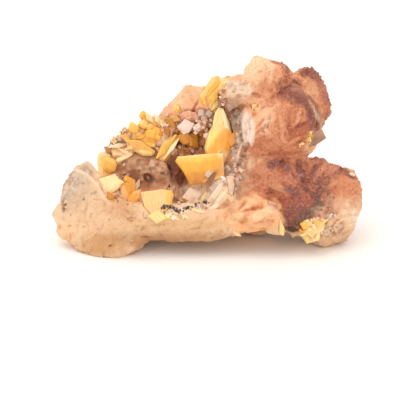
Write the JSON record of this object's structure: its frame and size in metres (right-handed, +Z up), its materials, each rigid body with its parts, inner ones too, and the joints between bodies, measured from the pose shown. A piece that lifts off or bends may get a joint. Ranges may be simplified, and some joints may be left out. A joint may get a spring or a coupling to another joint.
{
  "type": "wulfenite specimen",
  "caption": "Free-standing mineral specimen: orange-yellow tabular wulfenite round an open pocket in bowed limestone, with rust-stained calcite lobes at one end.",
  "frame": {"origin": "centre of the bounding box, on the surface that the specimen stands on", "axes": "+X to the right along the specimen with the display side seen, +Y away from the display side, +Z up"},
  "size_m": [0.0772, 0.0345, 0.045],
  "materials": {
    "wulfenite": "glossy, slightly see-through",
    "pale_wulfenite": "waxy, slightly see-through",
    "shaded_wulfenite": "glossy, slightly see-through",
    "calcite": "glassy cleavage faces",
    "calcite_crust": "sparkling, finely crystalline",
    "limestone": "matt, with rust-stained sugary lobes and pitted grey patches"
  },
  "bodies": {
    "root": {"wulfenite_centre_pair": "wulfenite", "wulfenite_left_guard": "wulfenite", "wulfenite_pale_leaf": "pale_wulfenite", "wulfenite_low_pair": "wulfenite", "wulfenite_front_plate": "pale_wulfenite", "wulfenite_top_stack": "wulfenite", "wulfenite_ridge_slivers": "pale_wulfenite", "wulfenite_ridge_knobs": "wulfenite", "wulfenite_middle_leaf": "wulfenite", "wulfenite_tilted_lens": "wulfenite", "wulfenite_shadow_cluster": "shaded_wulfenite", "wulfenite_behind_blade": "wulfenite", "wulfenite_ridge_nodule": "pale_wulfenite", "wulfenite_side_fleck": "pale_wulfenite", "wulfenite_corner_crumbs": "pale_wulfenite", "wulfenite_side_wedge": "wulfenite", "calcite_side_plate": "calcite", "calcite_rhomb_upper": "calcite", "calcite_rhomb_lower": "calcite", "calcite_saw_ridge": "calcite", "calcite_wall_blades": "calcite", "vug_crust": "calcite_crust", "matrix": "limestone"}
  },
  "joints": []
}
